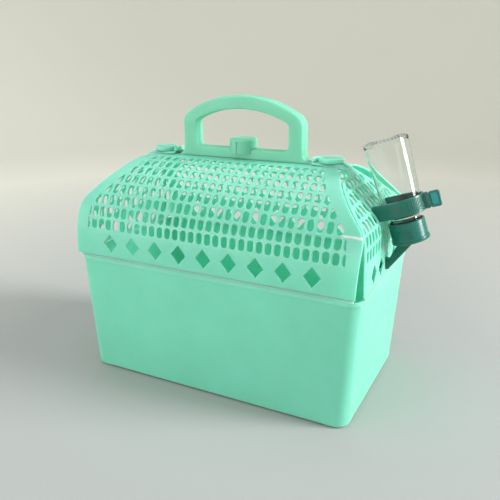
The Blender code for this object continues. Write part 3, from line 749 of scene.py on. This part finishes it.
def make_living_hinges():
    """Thin webs between the tub and each flap, along their hinge lines."""
    hinges = (("front", 1, -1), ("rear", 1, 1), ("left_end", 0, -1), ("right_end", 0, 1))
    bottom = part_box("tub")[1].z + 0.0001
    top = FLAP_BOTTOM - 0.0001
    for owner, across, side in hinges:
        name = owner.removesuffix("_end")
        along = 1 - across
        low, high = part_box(name + "_living_hinge")
        face = high[across] if side > 0 else low[across]
        thickness = high[across] - low[across]
        rings = []
        for i in range(13):
            share = i / 12
            waist = 0.00005 * math.sin(math.pi * share)
            z = bottom + (top - bottom) * share
            far = thickness - waist
            ring = []
            for t, depth in ((0, waist), (1, waist), (1, far), (0, far)):
                point = [0.0, 0.0, z]
                point[along] = low[along] + (high[along] - low[along]) * t
                point[across] = face - side * depth
                ring.append(tuple(point))
            rings.append(ring)
        web = piece(name + "_hinge_web", loft(rings), MINT, None, [name + "_living_hinge"])
        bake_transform(web)


# ---------------------------------------------------------------- flaps and straps


def vault_place(side):
    """Place function of a long flap: u along X, v up the vault."""

    def place(u, v, depth):
        across, z = VAULT.at(v, depth)
        return (u, side * across, z)

    return place


def end_place(side, start=0.0):
    """Place function of an end flap or strap: u along Y, turned round at the left."""

    def place(u, v, depth):
        across, z = END.at(start + v, depth)
        return (side * across, side * u, z)

    return place


def make_long_flaps():
    """Front and rear flaps, each with its lattice and a row of diamonds."""
    top = VAULT.length[-1]
    for name, side in (("front", -1), ("rear", 1)):
        holes = lattice(long_halves, LATTICE_MARGIN, LAST_ROW)
        holes += diamonds(LONG_DIAMONDS, DIAMOND_PITCH, DIAMOND_Z)
        halves = front_halves if side < 0 else long_halves
        sheet = panel(flap_outline(halves, top), holes, vault_place(side), SHEET)
        body = name + "_flap"
        piece(name + "_lattice_flap", sheet, CREASED if side < 0 else MINT, body, [body])


def spout_slot():
    """Outline of the slot that the spout goes through."""
    low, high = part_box("drinking_spout")
    half = (high.y - low.y) / 2 + SPOUT_ROOM
    middle = ((low.y + high.y) / 2, SPOUT_SLOT_Z - FLAP_BOTTOM)
    return rounded_box(half, SPOUT_SLOT_HALF, 0.001, 3, middle)


def make_end_flaps():
    """End flaps; the right one stays whole where the bottle's band hooks on."""
    top = END.distance_at(STRAP_ROOT_Z)
    last = END.distance_at(NECK_LOW) - 0.0018
    bracket_low, bracket_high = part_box("bottle_bracket")
    band = [END.distance_at(z) for z in BAND_Z]

    def under_band(u, v):
        near_arm = min(abs(u - bracket_low.y), abs(u - bracket_high.y)) < ARM_ROOM
        return near_arm and band[0] < v < band[1]

    for name, side in (("left", -1), ("right", 1)):
        blocked = under_band if side > 0 else None
        holes = lattice(end_halves, END_MARGIN, last, blocked)
        skip = END_DIAMONDS // 2 if side > 0 else None
        holes += diamonds(END_DIAMONDS, END_DIAMOND_PITCH, END_DIAMOND_Z, skip)
        if side > 0:
            holes.append(spout_slot())
        neck = [END.distance_at(z) for z in (NECK_LOW, NECK_HIGH)]
        sheet = panel(flap_outline(end_halves, top, neck), holes, end_place(side), SHEET)
        body = name + "_end_flap"
        piece(name + "_lattice_end_flap", sheet, MINT, body, [body])


def make_straps():
    """Straps over the ends of the ridge, each with a finger lip at its tip."""
    start = END.distance_at(STRAP_ROOT_Z + GAP)
    length = END.length[-1] - start
    cap = END.length[-1] - (SNAP_X - STRAP_TIP_X) - start
    lip_half, lip_corner = 0.0084, 0.0009
    for name, side in (("left", -1), ("right", 1)):
        outline = rounded_box(STRAP_HALF, length / 2, 0.0028, 5, (0.0, length / 2))
        neck = rounded_box(0.0026, 0.0031, 0.0014, 3, (0.0, cap - 0.0153))
        bore = circle(SNAP_BORE, 28, (0.0, cap))
        place = end_place(side, start)
        strap = panel(outline, [neck, bore], place, STRAP_THICKNESS, 0.0005, 0.0005, 0.004)
        lip_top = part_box(name + "_strap")[1].z
        levels = ((END_CREST[1] - 0.001, 0.0), (lip_top - 0.0006, 0.0), (lip_top, 0.0005))
        middle = (side * (STRAP_TIP_X + STRAP_THICKNESS / 2), 0.0)
        merge(strap, post(STRAP_THICKNESS / 2, lip_half, lip_corner, 3, middle, levels))
        body = name + "_strap"
        piece(name + "_snap_strap", strap, MINT, body, [body])
        make_snap_cap(name, body, side * SNAP_X)


def plain(x, y, z):
    """Place function of a shape that stands upright on the middle."""
    return (x, y, z)


def round_shoulder(radius, top, edge, steps):
    """(radius, height) levels of the rounded top edge of a turned piece."""
    return [(radius - across, top - drop) for across, drop in quarter(edge, steps)]


def turned(levels, place=plain, steps=48):
    """Surface of revolution through (radius, height) levels, and its rows; its ends are open."""
    bm = bmesh.new()
    rows = []
    for radius, height in levels:
        rows.append([bm.verts.new(place(x, y, height)) for x, y in circle(radius, steps)])
    quads(bm, rows)
    return bm, rows


def make_snap_cap(name, body, middle_x):
    """Hollow round cap with a dished top."""
    low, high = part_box(name + "_snap_cap")
    radius = (high.x - low.x) / 2
    levels = [(SNAP_BORE, high.z - 0.0018), (SNAP_BORE, low.z)]
    levels += [(radius - 0.0003, low.z), (radius, low.z + 0.0003)]
    levels += round_shoulder(radius, high.z, 0.0013, 4)
    levels += [(radius - 0.0022, high.z), (radius - 0.0028, high.z - 0.0005)]
    levels += [(radius - 0.0060, high.z - 0.0008)]
    bm, rows = turned(levels, lambda x, y, z: (middle_x + x, y, z))
    close_ends(bm, rows)
    piece(name + "_button_cap", bm, MINT, body, [name + "_snap_cap"], 35)


# ---------------------------------------------------------------- handle and clip


def handle_outline(top, low, outer, foot, root):
    """Anticlockwise (x, z) outline of the handle, whose root goes below its foot."""
    flare = foot - outer
    right = [(foot, low - root)]
    right += arc((foot, low + flare), flare, -math.pi / 2, -math.pi / 2, 8)
    return mirrored(right + crown(outer, top, HANDLE_SHOULDER, HANDLE_CROWN))


def crown(half, top, shoulder, radius):
    """Right half of a crowned top: a small arc at the shoulder, then a large one."""
    across = half - shoulder
    turn = math.acos(across / (radius - shoulder))
    middle = top - radius
    low = (across, middle + (radius - shoulder) * math.sin(turn))
    points = arc(low, shoulder, 0.0, turn, 8)
    return points[:-1] + arc((0.0, middle), radius, turn, math.pi / 2 - turn, 14)


def cut_below(bm, level):
    """Take away what lies under a level and close the cut."""
    everything = bm.verts[:] + bm.edges[:] + bm.faces[:]
    plane = {"plane_co": (0.0, 0.0, level), "plane_no": (0.0, 0.0, 1.0)}
    bmesh.ops.bisect_plane(bm, geom=everything, clear_inner=True, **plane)
    bmesh.ops.holes_fill(bm, edges=[edge for edge in bm.edges if edge.is_boundary])
    return bm


def hand_opening(low, high, half):
    """Anticlockwise (x, z) outline of the hand opening."""
    radius = OPENING_CORNER
    right = arc((half - radius, low + radius), radius, -math.pi / 2, math.pi / 2, 6)
    return mirrored(right + crown(half, high, radius, OPENING_CROWN))


def make_handle():
    """Two plates that meet in the middle plane, one on each long flap."""
    low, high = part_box("front_handle_half")
    face, edge = abs(low.y), 0.0016
    outline = handle_outline(high.z, low.z, HANDLE_HALF, high.x, 2.5 * edge)
    hole = hand_opening(BAR_TOP, high.z - GRIP, OPENING_HALF)
    for name, side in (("front", -1), ("rear", 1)):

        def place(x, z, depth):
            return (x, side * (face - depth), z)

        half = panel(outline, [hole], place, face - SEAM, edge, 0.0003, 0.012, 4)
        half = cut_below(half, low.z)
        piece(name + "_handle", half, THICK, name + "_flap", [name + "_handle_half"], 40)


def make_centre_clip():
    """Drum that grips both bars, with an upright finger rib front and back."""
    low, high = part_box("centre_clip")
    radius = high.x
    levels = [(radius - 0.0005, low.z), (radius, low.z + 0.0005)]
    levels += round_shoulder(radius, high.z, 0.0020, 5)
    levels += [(radius - 0.0030, high.z), (radius - 0.0038, high.z - 0.0006)]
    drum, rows = turned(levels, steps=72)
    close_ends(drum, rows)
    room = 0.0004
    bars = -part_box("front_handle_half")[0].y + room
    channel = box((-0.03, -bars, low.z - 0.01), (0.03, bars, BAR_TOP + room))
    stud_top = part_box("front_clip_stud")[1].z
    bore, rows = turned([(0.0065, BAR_TOP - 0.003), (0.0065, stud_top + 2 * room)], steps=32)
    close_ends(bore, rows)
    cutters = [channel, bore]
    for side in (-1, 1):
        x = sorted((side * 0.0006, side * 0.0036))
        y = sorted((side * (radius - 0.0022), side * (radius + 0.004)))
        cutters.append(box((x[0], y[0], low.z - 0.002), (x[1], y[1], high.z - 0.0026)))
    drum = carve(drum, *cutters)
    levels = ((low.z + 0.0002, 0.0), (high.z - 0.0030, 0.0), (high.z - 0.0022, 0.0007))
    for side in (-1, 1):
        middle = (side * 0.0030, side * (radius - 0.0007))
        merge(drum, post(0.0021, 0.0020, 0.0009, 4, middle, levels))
    piece("round_centre_clip", drum, THICK, "centre_clip", ["centre_clip"], 35)


# ---------------------------------------------------------------- drinking bottle

LUG = next(joint for joint in frame["joints"] if joint["name"] == "band_clasp_hinge")
LUG_RADIUS = 0.0018
LUG_HEIGHT = 0.0025
BAND_LOW = 0.0276
BAND_HEIGHT = 0.0152
BAND_INNER = 0.0195
BAND_THICKNESS = 0.0020
BAND_REACH = 0.0230
RIBS = 26
CLASP_CENTRE = BAND_INNER + BAND_THICKNESS + GAP + LUG_RADIUS
UP = Vector(LUG["axis"]).normalized()
OUT = Vector((UP.z, 0.0, -UP.x))
FOOT = Vector(LUG["pos_m"]) - OUT * CLASP_CENTRE - UP * BAND_LOW


def on_bottle(x, y, height):
    """Point given from the bottle's foot: x away from the flap, height up the bottle."""
    return FOOT + OUT * x + Vector((0.0, y, 0.0)) + UP * height


def fillet_chain(points, radius):
    """A line through points with its inner corners rounded."""
    made = [points[0]]
    for before, corner, after in zip(points, points[1:], points[2:]):
        made += fillet(before, corner, after, radius, 5)
    return made + [points[-1]]


def make_bottle():
    """Hollow bottle, mouth down, with a thread on its neck and a ring of dots on its base."""
    neck, thread, wall = 0.0135, 0.0009, 0.0012
    thread_low, thread_high, thread_pitch = 0.0052, 0.0232, 0.0042
    thread_start, bead_half = 0.0060, 0.22
    mouth, shoulder, length = 0.0038, 0.0246, 0.0995
    low_radius, top_radius, body_low = 0.0183, 0.0210, 0.0298
    taper = length - 0.004 - body_low
    dots, dot_height, dot_limit = 30, 0.00025, 0.0185
    steps = 96

    levels = [(neck - 0.0004, mouth, 0.0), (neck, mouth + 0.0004, 0.0)]
    levels += [(neck, h, thread) for h in np.arange(thread_low, thread_high, 0.0003)]
    waist = [(neck, thread_high), (neck, shoulder + 0.0004)]
    waist += [(low_radius, body_low - 0.0014), (low_radius, body_low + 0.004)]
    outer = fillet_chain(waist, 0.0022)
    for share in (0.12, 0.3, 0.5, 0.7, 0.85):
        radius = low_radius + (top_radius - low_radius) * share
        outer.append((radius, body_low + taper * share))
    outer += fillet((top_radius, length - 0.02), (top_radius, length), (0.0, length), 0.0030, 8)
    outer += [(0.0150, length), (0.0138, length - 0.0006), (0.0060, length - 0.0012)]
    levels += [(radius, height, 0.0) for radius, height in outer]

    inner = [(0.0060, length - 0.0028), (0.0145, length - 0.0022)]
    inner += [(top_radius - 0.0034, length - 0.0018), (top_radius - 0.0018, length - 0.0030)]
    inner += [(top_radius - wall, length - 0.0056), (low_radius - wall, body_low + 0.002)]
    inner += [(low_radius - wall - 0.0006, body_low), (neck - wall + 0.0004, shoulder + 0.0016)]
    inner += [(neck - wall, shoulder), (neck - wall, mouth + 0.0004)]
    inner += [(neck - wall + 0.0004, mouth)]

    bm = bmesh.new()
    rows = []
    for radius, height, ridge in levels:
        dotted = abs(height - length) < 1e-6 and radius < dot_limit
        ring = []
        for i in range(steps):
            angle = math.tau * i / steps
            turn = ((height - thread_start) / thread_pitch - i / steps) % 1.0
            bead = ridge * max(0.0, 1.0 - abs(turn - 0.5) / bead_half) ** 0.7
            x, y = (radius + bead) * math.cos(angle), (radius + bead) * math.sin(angle)
            raised = dot_height * math.cos(angle * dots) if dotted else 0.0
            ring.append(bm.verts.new(on_bottle(x, y, height + raised)))
        rows.append(ring)
    for radius, height in inner:
        rows.append([bm.verts.new(on_bottle(x, y, height)) for x, y in circle(radius, steps)])
    count = len(levels)
    quads(bm, rows[:count])
    quads(bm, rows[count:])
    quads(bm, [rows[-1], rows[0]])
    bm.faces.new(rows[count - 1])
    bm.faces.new(rows[count])
    piece("clear_water_bottle", bm, CLEAR, "water_bottle", ["water_bottle"], 60)


def make_screw_cap():
    """Cup with two beads round its foot."""
    radius, height, wall = 0.0172, 0.0205, 0.0018
    line = [(radius - wall, 0.0016), (radius - wall, height - 0.0004)]
    line += [(radius - wall + 0.0004, height)]
    line += [(radius - 0.0005, height), (radius, height - 0.0005)]
    line += [(radius, 0.0046), (radius + 0.0005, 0.0043), (radius + 0.0008, 0.0038)]
    line += [(radius + 0.0008, 0.0034), (radius + 0.0003, 0.0029), (radius + 0.0003, 0.0024)]
    line += [(radius + 0.0008, 0.0019), (radius + 0.0008, 0.0012), (radius + 0.0003, 0.0004)]
    line += [(radius - 0.0006, 0.0)]
    bm, rows = turned(line, on_bottle, 64)
    close_ends(bm, rows)
    piece("bottle_screw_cap", bm, TEAL, "right_end_flap", ["screw_cap"], 40)


def band_line(radius, reach):
    """Open U round the bottle, as a Path in its level plane, from the front arm's end."""
    points = even_line((-reach, -radius), (0.0, -radius))
    points += arc((0.0, 0.0), radius, -math.pi / 2, math.pi, 72)
    end = (-reach, radius)
    return Path(points[:-1] + even_line((0.0, radius), end) + [end])


def make_bracket():
    """Band with upright ribs at its outer side and two lugs for the clasp."""
    line = band_line(BAND_INNER + BAND_THICKNESS, BAND_REACH)
    length = line.length[-1]
    half_height = BAND_HEIGHT / 2

    def place(u, v, depth):
        x, y = line.at(u, depth)
        return on_bottle(x, y, BAND_LOW + v)

    def rib_place(u, v, depth):
        return place(u, v, depth - 0.0004)

    outline = rounded_box(length / 2, half_height, 0.0016, 4, (length / 2, half_height))
    dense = []
    for first, second in zip(outline, outline[1:] + outline[:1]):
        dense += even_line(first, second, 0.0015)
    band = panel(dense, [], place, BAND_THICKNESS, 0.0005, 0.0004, 0.003)
    start = length * 0.30
    for i in range(RIBS):
        u = start + (length - 2 * start) * i / (RIBS - 1)
        if abs(u - length / 2) < 0.0035:
            continue
        rib = rounded_box(0.00045, half_height - 0.0018, 0.0004, 3, (u, half_height))
        merge(band, panel(rib, [], rib_place, 0.0008, 0.0002, 0.0001, 0.01))
    root = BAND_INNER + 0.001
    lug = arc((CLASP_CENTRE, 0.0), LUG_RADIUS, -math.pi / 2, math.pi, 10)
    lug += [(root, LUG_RADIUS), (root, -LUG_RADIUS)]
    edge = 0.0002
    levels = ((0.0, -edge), (edge, 0.0), (LUG_HEIGHT - edge, 0.0), (LUG_HEIGHT, -edge))
    for low in (0.0, BAND_HEIGHT - LUG_HEIGHT):
        rings = []
        for height, outset in levels:
            ring = offset_ring(lug, outset)
            rings.append([on_bottle(x, y, BAND_LOW + low + height) for x, y in ring])
        merge(band, loft(rings))
    piece("ribbed_bottle_band", band, TEAL, "right_end_flap", ["bottle_bracket"], 40)


def make_clasp():
    """Framed tab, with a brighter panel in it, that turns between the lugs."""
    centre, half, edge = CLASP_CENTRE, 0.0015, 0.0005
    knuckle = arc((centre, 0.0), LUG_RADIUS, math.pi / 2, math.pi, 10)
    knuckle += [(centre + 0.0026, -half), (centre + 0.0026, half)]
    room = LUG_HEIGHT + GAP
    low, high = BAND_LOW + room, BAND_LOW + BAND_HEIGHT - room
    tab = loft([[on_bottle(x, y, h) for x, y in knuckle] for h in (low, high)])
    inner, outer = centre + 0.0021, centre + 0.0125
    middle = ((inner + outer) / 2, BAND_HEIGHT / 2)

    def shape(inset, radius):
        half_u, half_v = (outer - inner) / 2 - inset, BAND_HEIGHT / 2 - inset
        return rounded_box(half_u, half_v, radius, 6, middle)

    def place(u, v, depth):
        return on_bottle(u, -half + depth, BAND_LOW + v)

    def sunk_place(u, v, depth):
        return place(u, v, depth + 0.0009)

    rim, hole, pad = shape(0.0, 0.0022), shape(0.0019, 0.0012), shape(0.0018, 0.0012)
    merge(tab, panel(rim, [hole], place, 2 * half, edge, edge, 0.004, 3))
    piece("clasp_frame", tab, TEAL, "band_clasp", ["band_clasp"], 40)
    inset = panel(pad, [], sunk_place, 0.0012, 0.0003, 0.0003, 0.004)
    piece("clasp_inner_panel", inset, BRIGHT, "band_clasp", (), 40)


def make_spout():
    """Wedge from the cap through the flap to a small cup inside."""
    low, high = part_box("drinking_spout")
    half = (high.y - low.y) / 2
    middle = (high.y + low.y) / 2
    root = on_bottle(0.0040, 0.0, -GAP)
    inner = on_bottle(-0.0125, 0.0, -GAP)
    wall_x, cup_top = END_FOOT_X + 0.002, low.z + 0.010
    wall, edge, above = 0.0013, 0.0008, 0.16
    outline = [(root.x, root.z), (inner.x, inner.z), (wall_x, cup_top), (low.x, cup_top)]
    outline += [(low.x, low.z), (wall_x, low.z)]

    def place(x, z, depth):
        return (x, middle - half + depth, z)

    wedge = panel(outline, [], place, 2 * half, edge, edge, 0.006, 3)
    cup_low = (low.x + wall, middle - half + wall, low.z + wall)
    cup = box(cup_low, (END_FOOT_X - 2 * wall, middle + half - wall, above))
    piece("spout_wedge", carve(wedge, cup), TEAL, "right_end_flap", ["drinking_spout"], 40)


def finish_cad_nodes():
    """Small hidden pieces keep their solids and get their plastics."""
    for name, obj in frame["nodes"].items():
        if obj.hide_render:
            continue
        material = RUBBER if name == "cap_washer" else MINT
        obj.data.materials.clear()
        obj.data.materials.append(material)


# ---------------------------------------------------------------- studio

# Paper colours, paler towards the wall, and the strength of the painted glow added there
NEAR_PAPER = (0.39, 0.405, 0.40, 1.0)
FAR_PAPER = (0.63, 0.63, 0.56, 1.0)
PAPER_CHANGES = (0.30, 1.2)
PAPER_PAINTED_GLOW = 0.26
SKY_COLOUR = (0.93, 0.96, 1.0, 1.0)
SKY_STRENGTH = 0.55
WIDE = math.pi
# Name, place, target, size, power, colour and spread of each soft light
LIGHTS = (
    ("window", (2.0, 0.45, 1.0), (0, 0, 0.15), (0.75, 1.6), 13.5, (1.0, 0.985, 0.99), 1.2),
    ("ceiling", (-0.5, -0.1, 1.6), (-0.4, 0, 0), (1.6, 1.6), 10.5, (1.0, 0.99, 0.97), WIDE),
    ("front_fill", (-0.7, -1.5, 0.42), (-0.1, 0, 0.08), (1.2, 0.8), 11.0, (0.95, 0.98, 1.0), WIDE),
)


def paper():
    """Matt paper that grows paler with distance from the middle, with a painted glow towards the
    wall, where the far paper emits light of its own colour.
    """
    nodes = Nodes("paper")
    length = nodes.add("ShaderNodeVectorMath", operation="LENGTH")
    nodes.link(nodes.place, length.inputs[0])
    share = nodes.spread(length.outputs["Value"], *PAPER_CHANGES, 0.0, 1.0)
    colour = nodes.mix(share, NEAR_PAPER, FAR_PAPER)
    nodes.link(colour, nodes.shader.inputs["Base Color"])
    # painted glow: the far paper emits its own colour as light
    nodes.link(colour, nodes.shader.inputs["Emission Color"])
    painted_glow = nodes.spread(share, 0.0, 1.0, 0.0, PAPER_PAINTED_GLOW)
    nodes.link(painted_glow, nodes.shader.inputs["Emission Strength"])
    nodes.shader.inputs["Roughness"].default_value = 0.75
    nodes.shader.inputs["Specular IOR Level"].default_value = 0.2
    return nodes.material


def make_stage():
    """Floor that sweeps up all round into a wall."""
    radius, sweep, height, steps = 2.6, 0.9, 2.2, 96
    line = [(0.4, 0.0), (1.0, 0.0), (radius - sweep, 0.0)]
    line += arc((radius - sweep, sweep), sweep, -math.pi / 2, math.pi / 2, 16)[1:]
    line += [(radius, height)]
    bm, rows = turned(line, lambda x, y, z: (x, y, z), steps)
    bm.faces.new(rows[0])
    mesh = bpy.data.meshes.new("studio_floor")
    bmesh.ops.recalc_face_normals(bm, faces=bm.faces)
    bm.to_mesh(mesh)
    bm.free()
    mesh.shade_smooth()
    mesh.materials.append(paper())
    floor = add_object("studio_floor", mesh)


def area_light(name, place, target, size, power, colour, spread):
    """Soft light that lights the object but is neither seen itself nor through the bottle."""
    data = bpy.data.lights.new(name, "AREA")
    data.shape = "RECTANGLE"
    data.size, data.size_y = size
    data.energy = power
    data.color = colour
    data.spread = spread
    light = add_object(name, data)
    light.location = place
    light.rotation_mode = "QUATERNION"
    light.rotation_quaternion = (Vector(target) - Vector(place)).to_track_quat("-Z", "Y")
    light.visible_camera = False
    light.visible_transmission = False


def make_lights():
    world = bpy.data.worlds.new("studio_world")
    world.use_nodes = True
    background = world.node_tree.nodes["Background"]
    background.inputs["Color"].default_value = SKY_COLOUR
    background.inputs["Strength"].default_value = SKY_STRENGTH
    bpy.context.scene.world = world
    for light in LIGHTS:
        area_light(*light)


def make_camera():
    data = bpy.data.cameras.new("photo_camera")
    data.lens = CAMERA_LENS
    data.sensor_width = 36.0
    data.shift_y = CAMERA_SHIFT
    data.clip_start, data.clip_end = 0.01, 20.0
    camera = add_object("photo_camera", data)
    camera.location = CAMERA_PLACE
    camera.rotation_euler = [math.radians(angle) for angle in CAMERA_TURN]
    bpy.context.scene.camera = camera
    bpy.context.scene.view_settings.view_transform = "Standard"


make_camera()
make_lights()
make_stage()
make_tub()
make_living_hinges()
make_long_flaps()
make_end_flaps()
make_straps()
make_handle()
make_centre_clip()
make_bottle()
make_screw_cap()
make_bracket()
make_clasp()
make_spout()
finish_cad_nodes()
